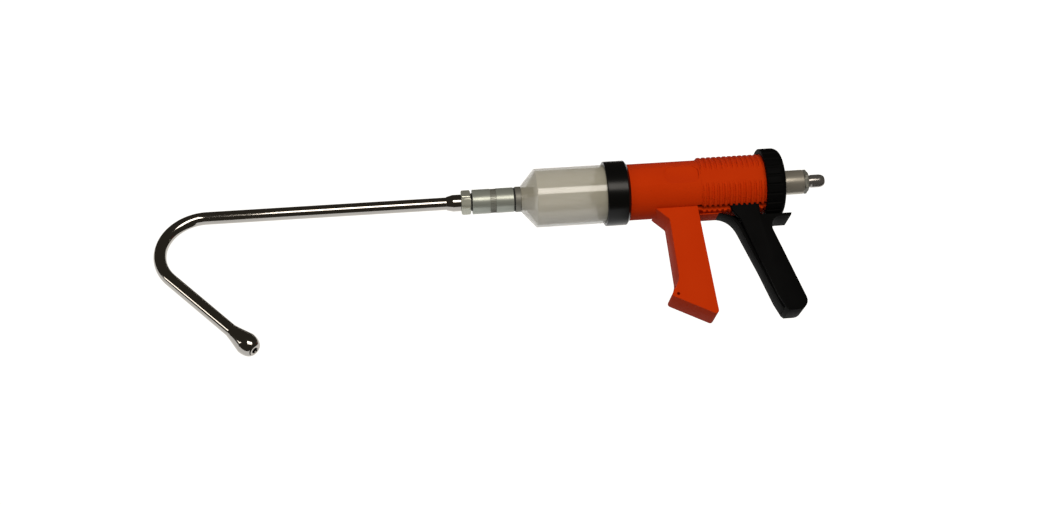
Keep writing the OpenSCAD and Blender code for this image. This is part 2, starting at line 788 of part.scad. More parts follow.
module housing() {
    hollow_h = foot_tip_drop - grip_ceiling;
    tongue_half_w = cheek_in - strip_side_gap + pass_gap;
    color("orangered") {
        difference() {
            union() {
                on_axis(housing_x0) turned(housing_points());
                slab(grip_points(), -grip_t / 2, grip_t / 2);
            }
            rod(housing_x0 - overrun, housing_x0 + counter_len, barrel_bore);
            rod(housing_x0, housing_x1 + overrun, bore_d);
            difference() {
                slab(grip_hollow_points(), grip_wall - grip_t / 2, grip_t / 2 - grip_wall);
                for (share = grip_rib_shares)
                    translate([gx, -grip_t / 2, axis_h - grip_ceiling - hollow_h * share])
                        cube([front_lean + grip_wall + rib_plate_reach, grip_t, rib_plate_t]);
            }
            translate([tongue_end, -tongue_half_w, axis_h - tongue_floor_drop])
                cube([grip_rear - tongue_end, 2 * tongue_half_w, tongue_floor_drop - grip_ceiling]);
            for (side = [-1, 1]) {
                side_flats(side);
                trigger_slot(side);
            }
            translate([gx + front_lean - foot_reach + lanyard_in, -grip_t / 2 - overrun,
                axis_h - foot_tip_drop + lanyard_up]) rotate([-90, 0, 0])
                cylinder(d = lanyard_d, h = grip_t + 2 * overrun);
        }
    }
}

module rod_guide() {
    color("ivory") difference() {
        union() {
            rod(guide_x0, guide_x1, bore_d - 2 * fit_gap);
            rod(guide_x1 - overrun, guide_x1 + guide_boss_len, guide_boss_d);
        }
        rod(guide_x0 - overrun, guide_x1 + guide_boss_len + overrun, rod_d + 2 * fit_gap);
    }
}

module return_spring() {
    color("gray") coil(guide_x1 + face_gap, cup_x - face_gap, spring_d, spring_wire, spring_turns);
}

module spring_cup() {
    color("silver") difference() {
        rod(cup_x - cup_lip, cup_x + cup_t, cup_d);
        rod(cup_x - cup_lip - overrun, cup_x, cup_d - 2 * cup_rim);
        rod(cup_x - overrun, cup_x + cup_t + overrun, rod_d + 2 * fit_gap);
    }
}

module cross_pins(d, half_len) {
    for (share = pin_shares)
        translate([carriage_x + carriage_len * share, half_len, axis_h - pin_drop]) rotate([90, 0, 0])
            cylinder(d = d, h = 2 * half_len);
}

module carriage() {
    half_w = cheek_in - carriage_side_gap;
    color("dimgray") difference() {
        translate([carriage_x, -half_w, axis_h - carriage_half_h])
            cube([carriage_len, 2 * half_w, 2 * carriage_half_h]);
        rod(carriage_x - overrun, carriage_x + carriage_len + overrun, rod_d + 2 * fit_gap);
        cross_pins(pin_d + 2 * fit_gap, trigger_t);
    }
}

module trigger_pins() {
    color("silver") cross_pins(pin_d, trigger_t / 2 - pin_short);
}

// A point of the trigger from its distance back and its drop
function tp(back, drop) = [trigger_at + back, axis_h - drop];

function trigger_points() =
    rounded([
        [each tp(0, -cheek_rise), 0], [each tp(0, cheek_turn_drop), knee_round],
        [each tp(knee_back, knee_drop), knee_round], [each tp(shin_back, shin_drop), slow_curve],
        [each tp(toe_back, trigger_drop - toe_up), toe_round],
        [each tp(toe_back + toe_up, trigger_drop), 0],
        [each tp(trigger_heel_back, trigger_drop), trigger_heel_round],
        [each tp(waist_back, waist_drop), slow_curve],
        [each tp(waist_back, tail_drop + tail_t), tail_fillet],
        [each tp(tail_back - tail_rake, tail_drop + tail_t), 0], [each tp(tail_back, tail_drop), 0],
        [each tp(cheek_len, tail_drop), 0], [each tp(cheek_len, -cheek_rise), 0]]);

// Space between the cheeks: below the roof, in front of the roof, and above it
function channel_points() =
    let (roof = tail_drop + roof_t, floor_drop = trigger_drop - floor_t, ahead = -overrun,
        web_top = waist_back - web_t + (trigger_heel_back - waist_back) * (roof - waist_drop)
            / (trigger_drop - waist_drop),
        web_low = trigger_heel_back - web_t)
    [tp(ahead, -cheek_rise - overrun), tp(cheek_len + overrun, -cheek_rise - overrun),
        tp(cheek_len + overrun, tail_drop), tp(knee_back + roof_setback, tail_drop),
        tp(knee_back + roof_setback, roof), tp(web_top, roof), tp(web_low, floor_drop),
        tp(ahead, floor_drop)];

module trigger_shell() {
    color("#1c1c1c") difference() {
        slab(trigger_points(), -trigger_t / 2, trigger_t / 2);
        slab(channel_points(), -cheek_in, cheek_in);
        cross_pins(pin_d + 2 * fit_gap, trigger_t);
    }
}

// Front line of the strip: a concave sweep from the tongue to the knee, then straight to the toe
function strip_front() =
    let (tip = tp(strip_tip_back, strip_tip_drop + strip_tip_t), mid = tp(strip_mid_back, strip_mid_drop),
        knee = tp(strip_knee_back, strip_knee_drop))
    concat(
        [for (i = [0 : strip_curve_steps]) let (t = i / strip_curve_steps)
            (1 - t) * (1 - t) * tip + 2 * t * (1 - t) * mid + t * t * knee],
        [tp(strip_toe_back, trigger_drop - floor_t - face_gap)]);

module trigger_strip() {
    front = strip_front();
    n = len(front) - 1;
    half_w = cheek_in - strip_side_gap;
    back = [for (i = [n : -1 : 0]) front[i] + [strip_t, 0]];
    tongue = [tp(tongue_back, strip_tip_drop), tp(tongue_back, strip_tip_drop + strip_tip_t)];
    color("#1c1c1c") slab(concat(tongue, front, back, [tp(strip_tip_back + strip_t, strip_tip_drop)]),
        -half_w, half_w);
}

module rod_clip_rings(out_d, in_d, extra) {
    for (x = [cup_x - rod_clip_t, carriage_x + carriage_len])
        ring(x - extra, x + rod_clip_t + extra, out_d, in_d);
}

module plunger_rod() {
    x1 = inlet_x0 + rod_socket - face_gap;
    color("silver") difference() {
        union() {
            rod(rod_x0, x1, rod_d);
            rod(piston_x1, piston_x1 + collar_t, collar_d);
        }
        rod(rod_x0 - overrun, x1 + overrun, rod_bore);
        rod_clip_rings(rod_d + overrun, rod_d - 2 * rod_clip_bite, 0);
    }
}

module rod_clips() {
    color("dimgray") rod_clip_rings(rod_clip_d, rod_d - 2 * rod_clip_bite + 2 * fit_gap, 0);
}

module piston() {
    d = barrel_bore - 2 * piston_gap;
    color("slategray") difference() {
        ring(piston_x0, piston_x1, d, rod_d + 2 * fit_gap);
        for (share = ring_shares) {
            x = piston_x0 + piston_len * share;
            ring(x - piston_ring_d / 2 - face_gap, x + piston_ring_d / 2 + face_gap, d + overrun,
                barrel_bore - 2 * ring_rub_gap - 2 * piston_ring_d);
        }
    }
}

module piston_rings() {
    color("black") for (share = ring_shares)
        oring(piston_x0 + piston_len * share, barrel_bore - 2 * ring_rub_gap - piston_ring_d,
            piston_ring_d);
}

module piston_nut() {
    color("silver") difference() {
        hexagon(piston_x0 - piston_nut_t, piston_x0, piston_nut_af, nut_chamfer, nut_chamfer);
        rod(piston_x0 - piston_nut_t - overrun, piston_x0 + overrun, rod_d + 2 * fit_gap);
    }
}

module thrust_washer() {
    color("ivory") ring(washer_x, washer_x + washer_t, washer_d, inlet_d + 2 * pass_gap);
}

module dose_knob() {
    r = knob_d / 2;
    bore_r = rib_d / 2 + pass_gap;
    color("#1a1a1a") difference() {
        on_axis(knob_x0) turned(concat([[0, bore_r], [0, r - knob_chamfer], [knob_chamfer, r]],
            quarter(knob_len - knob_round, knob_round, r, knob_face_d / 2, knob_round_steps),
            [[knob_len, inlet_d / 2 + fit_gap], [knob_bore_len, inlet_d / 2 + fit_gap],
            [knob_bore_len, bore_r]]));
        for (i = [0 : knob_grooves - 1])
            on_axis(knob_x0 - overrun) rotate([0, 0, 360 * i / knob_grooves])
                translate([r + groove_out, 0, 0]) cylinder(d = groove_d, h = knob_len + 2 * overrun);
    }
}

module inlet_sleeve() {
    color("lightgray") difference() {
        union() {
            rod(inlet_x0, inlet_x1, inlet_d);
            rod(inlet_flange_x, inlet_flange_x + inlet_flange_t, inlet_flange_d);
        }
        rod(inlet_x0 - overrun, inlet_x0 + rod_socket, rod_d + 2 * fit_gap);
        rod(inlet_x0, inlet_chamber_x + overrun, port_d);
        rod(inlet_chamber_x, inlet_seat_x + overrun, chamber_d);
        rod(inlet_seat_x, inlet_x1 + overrun, connector_spigot_d + 2 * fit_gap);
    }
}

module inlet_seat() {
    seat(inlet_seat_x);
}

module inlet_ball() {
    ball(inlet_ball_x);
}

module inlet_spring() {
    valve_spring(inlet_chamber_x, inlet_ball_x);
}

module inlet_nut() {
    x0 = inlet_x1 - inlet_spigot_in;
    color("lightgray") difference() {
        union() {
            rod(x0, inlet_nut_x0 + overrun, connector_spigot_d);
            hexagon(inlet_nut_x0, inlet_nut_x1, nut_af, nut_chamfer, inlet_nut_round);
        }
        rod(x0 - overrun, inlet_nut_x1 + overrun, seat_bore + 2 * seat_chamfer);
        rod(inlet_nut_x1 - tail_socket, inlet_nut_x1 + overrun, tail_spigot_d + 2 * fit_gap);
    }
}

module hose_tail() {
    r = tail_d / 2;
    x0 = inlet_nut_x1 - tail_socket + face_gap;
    spigot = inlet_nut_x1 - x0;
    land0 = spigot + tail_neck_len + tail_rise;
    land1 = land0 + tail_land;
    color("silver") on_axis(x0) difference() {
        turned(concat([[0, 0], [0, tail_spigot_d / 2], [spigot, tail_spigot_d / 2],
            [spigot, r - tail_neck_cut], [spigot + tail_neck_len, r - tail_neck_cut], [land0, r]],
            quarter(land1, spigot + tail_len - land1, r, tail_bore / 2 + tail_neck_cut, tail_round_steps),
            [[spigot + tail_len, 0]]));
        translate([0, 0, -overrun]) cylinder(d = tail_bore, h = spigot + tail_len + 2 * overrun);
    }
}

hook_tube();
nozzle_bulb();
tube_ferrule();
lance_clip();
lance_oring();
lance_nut();
valve_sleeve();
outlet_seat();
outlet_ball();
outlet_spring();
sleeve_gasket();
outlet_connector();
nose_oring();
barrel();
barrel_gasket();
clamp_ring();
housing();
rod_guide();
return_spring();
spring_cup();
carriage();
trigger_pins();
trigger_shell();
trigger_strip();
plunger_rod();
rod_clips();
piston();
piston_rings();
piston_nut();
thrust_washer();
dose_knob();
inlet_sleeve();
inlet_seat();
inlet_ball();
inlet_spring();
inlet_nut();
hose_tail();
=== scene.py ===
import json
import math

import bmesh
import bpy
from mathutils import Matrix, Vector

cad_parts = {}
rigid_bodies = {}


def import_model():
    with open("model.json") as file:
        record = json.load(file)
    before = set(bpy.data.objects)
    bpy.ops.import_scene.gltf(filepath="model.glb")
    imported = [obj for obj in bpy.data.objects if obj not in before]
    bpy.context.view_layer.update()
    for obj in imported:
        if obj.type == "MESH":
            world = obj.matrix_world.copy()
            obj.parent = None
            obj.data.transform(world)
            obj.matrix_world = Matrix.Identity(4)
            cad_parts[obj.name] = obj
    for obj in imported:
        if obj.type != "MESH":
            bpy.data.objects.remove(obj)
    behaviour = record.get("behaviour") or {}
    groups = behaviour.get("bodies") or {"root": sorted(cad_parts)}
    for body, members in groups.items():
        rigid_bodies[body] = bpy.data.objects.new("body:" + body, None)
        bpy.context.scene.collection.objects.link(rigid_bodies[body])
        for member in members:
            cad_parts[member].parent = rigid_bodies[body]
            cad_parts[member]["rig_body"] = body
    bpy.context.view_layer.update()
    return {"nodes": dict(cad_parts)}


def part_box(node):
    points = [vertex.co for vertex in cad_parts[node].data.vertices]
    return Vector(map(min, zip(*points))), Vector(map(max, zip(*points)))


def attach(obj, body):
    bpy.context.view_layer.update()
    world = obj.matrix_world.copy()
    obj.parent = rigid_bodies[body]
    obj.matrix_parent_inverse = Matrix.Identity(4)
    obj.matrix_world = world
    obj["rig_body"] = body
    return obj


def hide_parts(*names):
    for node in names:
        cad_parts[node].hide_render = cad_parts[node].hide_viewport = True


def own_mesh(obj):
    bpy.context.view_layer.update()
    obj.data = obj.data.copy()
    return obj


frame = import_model()

MM = 0.001
SCENE = bpy.context.scene
SCENE.view_settings.view_transform = "Standard"

# Sizes are in millimetres and degrees. Stations (X) are along the barrel axis, and radii (R) about it.
AXIS_H = 65.0

# Lance
FERRULE_X, SPIGOT_X1, NUT_X0, NUT_X1 = -198.5, -172.0, -186.0, -178.2
BEND_X, BEND_R, BEND_ANGLE, LEG_LEN, HOOK_ROLL = -397.0, 37.0, 132.0, 73.0, 18.0
TUBE_R, TUBE_BORE_R, TUBE_SOCKET_R = 5.3, 3.9, 5.35
BULB_LEN, BULB_R, BULB_FACE_R, BULB_SOCKET, NOZZLE_R = 26.5, 9.1, 4.3, 6.0, 2.5
FERRULE_R, SPIGOT_R = 7.1, 6.0

# Turned valve bodies at both ends, and their hexagons
BODY_R, SEAT_R, CHAMBER_R, VALVE_BORE_R = 10.4, 8.05, 7.0, 3.2
SEAT_PLUG_R, SEAT_PLUG_BORE_R = 8.0, 3.8
NUT_AF, NUT_FACE_R, NUT_CORNER_R = 18.0, 9.2, 10.4
HEX_TURN = 21.0
SLEEVE_X0, SLEEVE_X1, FLANGE_X, NOSE_X = -176.8, -141.9, -140.7, -135.8
NECK_R, NECK_THREAD_R = 7.3, 7.45
KNURL_BACK, KNURL_W, KNURL_TEETH = 14.9, 5.0, 44
INLET_X1, INLET_NUT_X0, INLET_NUT_X1 = 106.7, 107.2, 111.1

# Barrel, clamp ring, plunger, knob and trigger. The rod's fit also goes on the ferrule's spigot.
SHOULDER_X, BARREL_X1, BARREL_R, BARREL_BORE_R = -123.5, -56.0, 24.9, 22.9
CLAMP_X0, CLAMP_STEP_X, CLAMP_X1 = -65.0, -54.5, -45.1
ROD_FIT_R = 6.05
KNOB_X0, KNOB_X1, KNOB_R, KNOB_BORE_R, KNOB_GROOVES = 69.6, 86.4, 30.3, 26.1, 24
TONGUE_X1 = 29.5


def camera():
    """The photograph's viewpoint: slightly below the barrel, on the gun's left side."""
    sensor_mm, focal_px, photo_px = 36.0, 1560.0, 1046.0
    distance = 1.299303
    aim = Vector((-138.027, 0, 17.204)) * MM
    yaw, rise, roll = (math.radians(a) for a in (5.43917, 19.42732, -5.51124))
    made = bpy.data.cameras.new("camera")
    made.sensor_width = sensor_mm
    made.lens = focal_px * sensor_mm / photo_px
    made.clip_start, made.clip_end = 0.05, 20.0
    ahead = Vector((math.sin(yaw) * math.cos(rise), math.cos(yaw) * math.cos(rise), math.sin(rise)))
    level = ahead.cross(Vector((0, 0, 1))).normalized()
    plumb = level.cross(ahead)
    right = math.cos(roll) * level + math.sin(roll) * plumb
    up = math.cos(roll) * plumb - math.sin(roll) * level
    turn = Matrix((right, up, -ahead)).transposed().to_4x4()
    obj = bpy.data.objects.new("camera", made)
    SCENE.collection.objects.link(obj)
    obj.matrix_world = Matrix.Translation(aim - ahead * distance) @ turn
    SCENE.camera = obj
    return ahead, right, up


AHEAD, RIGHT, UP = camera()


# Node trees

def linear(code):
    """A hex sRGB colour as linear RGBA."""
    parts = [int(code[i:i + 2], 16) / 255 for i in (1, 3, 5)]
    return tuple(c / 12.92 if c <= 0.04045 else ((c + 0.055) / 1.055) ** 2.4 for c in parts) + (1.0,)


def add(tree, kind, inputs=None, **settings):
    """Adds one node. An input takes a value, or another node's output."""
    made = tree.nodes.new(kind)
    for key, value in settings.items():
        setattr(made, key, value)
    for key, value in (inputs or {}).items():
        if isinstance(value, bpy.types.NodeSocket):
            tree.links.new(value, made.inputs[key])
        else:
            made.inputs[key].default_value = value
    return made


def per_metre(size_mm):
    """Texture scale that gives a pattern of that size on Object coordinates in metres."""
    return 1000.0 / size_mm


def material(name):
    made = bpy.data.materials.new(name)
    made.use_nodes = True
    tree = made.node_tree
    tree.nodes.clear()
    place = add(tree, "ShaderNodeTexCoord").outputs["Object"]
    shader = add(tree, "ShaderNodeBsdfPrincipled")
    add(tree, "ShaderNodeOutputMaterial", {"Surface": shader.outputs[0]})
    return made, tree, place, shader


# The noise texture's usual range, the wave texture's phase per unit, and the bands' share of the relief
NOISE_LOW, NOISE_HIGH, WAVE_PHASE, MARK_SHARE = 0.3, 0.7, 20.0, 0.7
# Spacing of the bands on turned pieces, and on the thread
TURNED_MM, THREAD_MM = 5.0265, 6.2832


def surface(name, pale, dark, metallic, rough, grit_mm, bump_mm, blotch_mm=18.0, bands_mm=0.0, **sockets):
    """One finish: two close colours in soft blotches, uneven gloss, and grit or turned bands in relief."""
    made, tree, place, shader = material(name)
    blotch = add(tree, "ShaderNodeTexNoise", {"Vector": place, "Scale": per_metre(blotch_mm), "Detail": 4.0})
    tint = add(tree, "ShaderNodeMix", {0: blotch.outputs["Fac"], 6: linear(pale), 7: linear(dark)},
               data_type="RGBA")
    gloss = add(tree, "ShaderNodeMapRange", {
        "Value": blotch.outputs["Fac"], "From Min": NOISE_LOW, "From Max": NOISE_HIGH,
        "To Min": rough[0], "To Max": rough[1]})
    grit = add(tree, "ShaderNodeTexNoise", {"Vector": place, "Scale": per_metre(grit_mm), "Detail": 3.0})
    height = grit.outputs["Fac"]
    if bands_mm:
        marks = add(tree, "ShaderNodeTexWave", {
            "Vector": place, "Scale": per_metre(bands_mm) * 2 * math.pi / WAVE_PHASE,
            "Distortion": 1.5, "Detail": 2.0, "Detail Scale": 4.0}, bands_direction="X")
        height = add(tree, "ShaderNodeMix", {0: MARK_SHARE, 2: height, 3: marks.outputs["Fac"]}).outputs[0]
    relief = add(tree, "ShaderNodeBump", {"Height": height, "Strength": 1.0, "Distance": bump_mm * MM})
    for key, value in {"Base Color": tint.outputs[2], "Roughness": gloss.outputs[0],
                       "Normal": relief.outputs[0]}.items():
        tree.links.new(value, shader.inputs[key])
    shader.inputs["Metallic"].default_value = metallic
    for key, value in sockets.items():
        shader.inputs[key.replace("_", " ")].default_value = value
    return made


# Chromium plate over drawn tube: a mirror with a faint ripple from the drawing
CHROME = surface("chrome_plate", "#b4b0aa", "#aaa6a0", 1.0, (0.07, 0.11), 5.0, 0.002)
# Satin nickel over turned brass: a pale grey with a soft broad gleam, in faint uneven bands about 5 mm apart
SATIN = surface("satin_nickel", "#a9ada3", "#a0a49a", 0.52, (0.28, 0.35), 0.6, 0.003, bands_mm=TURNED_MM)
# The same plate left matt, on the knurl, the flange and the inlet nut: darker and without a gleam. On the
# knurl the darker colour is partly painted shade, of the teeth shading each other
MATT = surface("matt_nickel", "#87867e", "#7a7970", 0.5, (0.42, 0.52), 0.6, 0.02)
# Nickel over milled hexagon brass: grey flats with mill marks
BRIGHT = surface("milled_nickel", "#bebfb1", "#b0b1a3", 0.6, (0.22, 0.32), 1.2, 0.006)
# Warm satin nickel of the inlet, a little duller from handling
DULL = surface("handled_nickel", "#b4aea1", "#a6a093", 0.65, (0.26, 0.34), 0.6, 0.003, bands_mm=TURNED_MM)
# Thin nickel on the hose tail: darker, with a narrow gleam
PLATE = surface("thin_nickel", "#a39f9b", "#989490", 0.82, (0.14, 0.20), 1.2, 0.003)
# Thread on the sleeve's neck, in the gap before the lance nut: painted near-black as painted shade of that
# shadowed gap, nearly matt
THREAD = surface("thread_in_painted_shade", "#1b1a18", "#141311", 0.2, (0.45, 0.60), 0.6, 0.010, bands_mm=THREAD_MM)
# Glass-filled nylon, moulded in orange: satin, with a fine moulded grain and a sheen of its own colour
ORANGE = surface("orange_nylon", "#c03004", "#ba2c03", 0.0, (0.68, 0.76), 0.9, 0.010, blotch_mm=30.0,
                 Specular_IOR_Level=0.22, Specular_Tint=linear("#ffb45a"))
# Black nylon with a spark-eroded grain: very dark, with a wide weak sheen
BLACK = surface("black_nylon", "#080808", "#060606", 0.0, (0.60, 0.68), 0.8, 0.015, Specular_IOR_Level=0.04)
# Black nylon from a polished mould: nearly the same colour, with a clear highlight
GLOSS_BLACK = surface("polished_black_nylon", "#0c0c0b", "#090908", 0.0, (0.22, 0.28), 2.0, 0.003,
                      Specular_IOR_Level=0.22)
# Nitrile rubber: matt black with a dusty bloom
RUBBER = surface("nitrile_rubber", "#141414", "#1d1c1b", 0.0, (0.70, 0.85), 0.5, 0.01, blotch_mm=4.0)
# Turned acetal: waxy white, with faint turned bands
ACETAL = surface("white_acetal", "#d8d5c8", "#cdc9ba", 0.0, (0.34, 0.44), 0.8, 0.006, bands_mm=TURNED_MM)
# Dark grey acetal of the piston, seen through the milky barrel: painted darker than its own grey, as painted
# shade inside the barrel by the clamp
GREY_ACETAL = surface("grey_acetal", "#34373d", "#2d3036", 0.0, (0.36, 0.46), 0.8, 0.006, bands_mm=TURNED_MM)
# Turned stainless steel: cool grey with faint turned bands
STEEL = surface("turned_steel", "#b9bbbd", "#a9abad", 1.0, (0.22, 0.34), 0.6, 0.004, bands_mm=TURNED_MM)
# Drawn spring wire: dark steel with a fine uneven skin
WIRE = surface("spring_wire", "#8b8d90", "#6f7174", 1.0, (0.28, 0.42), 0.4, 0.004, blotch_mm=3.0)
# Natural polypropylene: milky, so that what lies behind shows as a soft shade, with a clear gleam on its skin
MILKY = surface("milky_polypropylene", "#c6c1ae", "#c0bba8", 0.0, (0.08, 0.12), 8.0, 0.001, blotch_mm=40.0,
                Alpha=0.5, IOR=1.9, Specular_IOR_Level=0.55)


# Meshes

SHARP_ANGLE, BEVEL_ANGLE, FLAT_ANGLE = (math.radians(a) for a in (34.0, 32.0, 0.6))
CORNER_STEPS = 5
# Distances in metres within which points count as one: of a turned outline, of any new mesh, of a CAD solid
TURNED_WELD, MESH_WELD, CAD_WELD = 1e-7, 1e-6, 2e-6


def rounded(rows):
    """Closed outline from rows of (along, radius, corner round). A corner without a round stays sharp."""
    points = []
    for i, (x, r, fillet) in enumerate(rows):
        here = Vector((x, r))
        if not fillet:
            points.append(here)
            continue
        before = (Vector(rows[i - 1][:2]) - here).normalized()
        after = (Vector(rows[(i + 1) % len(rows)][:2]) - here).normalized()
        half = before.angle(after) / 2
        reach = fillet / math.tan(half)
        centre = here + (before + after).normalized() * fillet / math.sin(half)
        first, last = here + before * reach - centre, here + after * reach - centre
        sweep = first.angle_signed(last)
        for k in range(CORNER_STEPS + 1):
            points.append(centre + Matrix.Rotation(-sweep * k / CORNER_STEPS, 2) @ first)
    return points


def quarter(along, run, out_r, in_r, n=10):
    """Rows on a quarter ellipse, from radius out_r at along down to in_r, run further on."""
    turns = [math.pi / 2 * k / n for k in range(n + 1)]
    return [(along + run * math.sin(a), in_r + (out_r - in_r) * math.cos(a), 0) for a in turns]


def along_axis(origin=(0, 0, AXIS_H), axis=(1, 0, 0)):
    """Places a shape built in millimetres along +X, so that it starts at origin and runs along axis."""
    turn = Vector((1, 0, 0)).rotation_difference(Vector(axis)).to_matrix().to_4x4()
    return Matrix.Translation(Vector(origin) * MM) @ turn @ Matrix.Scale(MM, 4)


def upright_to_axis(x):
    """Places a shape built in metres along +Z, so that it runs along the barrel axis from station x."""
    return along_axis((x, 0, AXIS_H)) @ Matrix.Scale(1 / MM, 4) @ Matrix.Rotation(math.radians(90), 4, "Y")


def object_from(name, bm):
    bmesh.ops.remove_doubles(bm, verts=bm.verts, dist=MESH_WELD)
    bmesh.ops.recalc_face_normals(bm, faces=bm.faces)
    mesh = bpy.data.meshes.new(name)
    bm.to_mesh(mesh)
    bm.free()
    mesh.shade_smooth()
    mesh.set_sharp_from_angle(angle=SHARP_ANGLE)
    obj = bpy.data.objects.new(name, mesh)
    SCENE.collection.objects.link(obj)
    return obj


def fit(obj, node, finish):
    """Gives a piece its finish and lets it stand for its CAD node."""
    obj.data.materials.clear()
    obj.data.materials.append(finish)
    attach(obj, frame["nodes"][node]["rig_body"])
    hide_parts(node)


def spun(name, points, radius=None, steps=96, place=None):
    """A closed outline of (along, radius) points turned about +X. radius(r, angle) may reshape it."""
    bm = bmesh.new()
    rings = []
    for s in range(steps):
        a = 2 * math.pi * s / steps
        row = []
        for x, r in points:
            q = radius(r, a) if radius else r
            row.append(bm.verts.new((x, q * math.cos(a), q * math.sin(a))))
        rings.append(row)
    count = len(points)
    for s in range(steps):
        one, two = rings[s], rings[(s + 1) % steps]
        for k in range(count):
            n = (k + 1) % count
            bm.faces.new((one[k], two[k], two[n], one[n]))
    bmesh.ops.transform(bm, matrix=place or along_axis(), verts=bm.verts)
    bmesh.ops.remove_doubles(bm, verts=bm.verts, dist=TURNED_WELD)
    bmesh.ops.dissolve_degenerate(bm, dist=TURNED_WELD, edges=bm.edges)
    return object_from(name, bm)


def dressed(node, width_mm):
    """A copy of a CAD solid with its moulded edges rounded."""
    bm = bmesh.new()
    bm.from_mesh(frame["nodes"][node].data)
    bmesh.ops.remove_doubles(bm, verts=bm.verts, dist=CAD_WELD)
    bmesh.ops.dissolve_limit(bm, angle_limit=FLAT_ANGLE, verts=bm.verts, edges=bm.edges)
    obj = object_from(node + "_moulded", bm)
    bevel = obj.modifiers.new("edges", "BEVEL")
    bevel.width = width_mm * MM
    bevel.segments = 2
    bevel.limit_method = "ANGLE"
    bevel.angle_limit = BEVEL_ANGLE
    return settle(obj)


def settle(obj):
    """Turns what the modifiers make into a plain mesh."""
    bpy.context.view_layer.update()
    mesh = bpy.data.meshes.new_from_object(obj.evaluated_get(bpy.context.evaluated_depsgraph_get()))
    obj.modifiers.clear()
    obj.data = mesh
    mesh.shade_smooth()
    mesh.set_sharp_from_angle(angle=SHARP_ANGLE)
    return obj


# Geometry Nodes

def node_tree(name, inputs):
    """A Geometry Nodes tree with named inputs, given as name: (socket kind, default)."""
    tree = bpy.data.node_groups.new(name, "GeometryNodeTree")
    tree.interface.new_socket("Geometry", in_out="INPUT", socket_type="NodeSocketGeometry")
    for label, (kind, value) in inputs.items():
        made = tree.interface.new_socket(label, in_out="INPUT", socket_type=kind)
        if value is not None:
            made.default_value = value
    tree.interface.new_socket("Geometry", in_out="OUTPUT", socket_type="NodeSocketGeometry")
    return tree, add(tree, "NodeGroupInput").outputs


def close_tree(tree, geometry, finish):
    real = add(tree, "GeometryNodeRealizeInstances", {"Geometry": geometry})
    coated = add(tree, "GeometryNodeSetMaterial", {"Geometry": real.outputs[0], "Material": finish})
    add(tree, "NodeGroupOutput", {"Geometry": coated.outputs[0]})


def grown(name, tree, values, mesh=None):
    """Runs a tree on an object and keeps the result as a plain mesh. Values go by the inputs' names."""
    obj = bpy.data.objects.new(name, mesh or bpy.data.meshes.new(name))
    SCENE.collection.objects.link(obj)
    held = obj.modifiers.new("grow", "NODES")
    held.node_group = tree
    named = {i.name: i.identifier for i in tree.interface.items_tree if i.in_out == "INPUT"}
    for label, value in values.items():
        held[named[label]] = value
    return settle(obj)


def coil_tree():
    """A round wire wound on a cylinder, along +Z."""
    tree, given = node_tree("wire_coil", {
        "Turns": ("NodeSocketFloat", 5.0), "Coil radius": ("NodeSocketFloat", 0.003),
        "Length": ("NodeSocketFloat", 0.01), "Wire radius": ("NodeSocketFloat", 0.0004),
        "Finish": ("NodeSocketMaterial", None)})
    path = add(tree, "GeometryNodeCurveSpiral", {
        "Resolution": 40, "Rotations": given["Turns"], "Start Radius": given["Coil radius"],
        "End Radius": given["Coil radius"], "Height": given["Length"]})
    wire = add(tree, "GeometryNodeCurvePrimitiveCircle", {"Resolution": 12, "Radius": given["Wire radius"]})
    tube = add(tree, "GeometryNodeCurveToMesh", {
        "Curve": path.outputs[0], "Profile Curve": wire.outputs[0], "Fill Caps": True})
    close_tree(tree, tube.outputs[0], given["Finish"])
    return tree


def swept_tree():
    """A round tube along a bent line of edges, with a smooth bend at each corner."""
    tree, given = node_tree("bent_tube", {
        "Bend radius": ("NodeSocketFloat", 0.037), "Radius": ("NodeSocketFloat", 0.0053),
        "Sides": ("NodeSocketInt", 40), "Finish": ("NodeSocketMaterial", None)})
    line = add(tree, "GeometryNodeMeshToCurve", {"Mesh": given["Geometry"]})
    bent = add(tree, "GeometryNodeFilletCurve", {
        "Curve": line.outputs[0], "Count": 64, "Radius": given["Bend radius"]}, mode="POLY")
    outline = add(tree, "GeometryNodeCurvePrimitiveCircle", {
        "Resolution": given["Sides"], "Radius": given["Radius"]})
    tube = add(tree, "GeometryNodeCurveToMesh", {
        "Curve": bent.outputs[0], "Profile Curve": outline.outputs[0]})
    close_tree(tree, tube.outputs[0], given["Finish"])
    return tree


def teeth_tree():
    """A ring of square bars along Z, each with one face turned outwards: the teeth of a knurl."""
    tree, given = node_tree("knurl_teeth", {
        "Teeth": ("NodeSocketInt", 44), "Radius": ("NodeSocketFloat", 0.01),
        "Width": ("NodeSocketFloat", 0.005), "Depth": ("NodeSocketFloat", 0.0004),
        "Finish": ("NodeSocketMaterial", None)})
    circle = add(tree, "GeometryNodeMeshCircle", {"Vertices": given["Teeth"], "Radius": given["Radius"]})
    index = add(tree, "GeometryNodeInputIndex")
    turn = add(tree, "ShaderNodeMath", {0: 2 * math.pi, 1: given["Teeth"]}, operation="DIVIDE")
    angle = add(tree, "ShaderNodeMath", {0: index.outputs[0], 1: turn.outputs[0]}, operation="MULTIPLY")
    spin = add(tree, "ShaderNodeCombineXYZ", {"Z": angle.outputs[0]})
    size = add(tree, "ShaderNodeCombineXYZ", {
        "X": given["Depth"], "Y": given["Depth"], "Z": given["Width"]})
    bar = add(tree, "GeometryNodeMeshCube", {"Size": size.outputs[0]})
    placed = add(tree, "GeometryNodeInstanceOnPoints", {
        "Points": circle.outputs[0], "Instance": bar.outputs[0], "Rotation": spin.outputs[0]})
    close_tree(tree, placed.outputs[0], given["Finish"])
    return tree


COIL, SWEPT, TEETH = coil_tree(), swept_tree(), teeth_tree()


# The lance

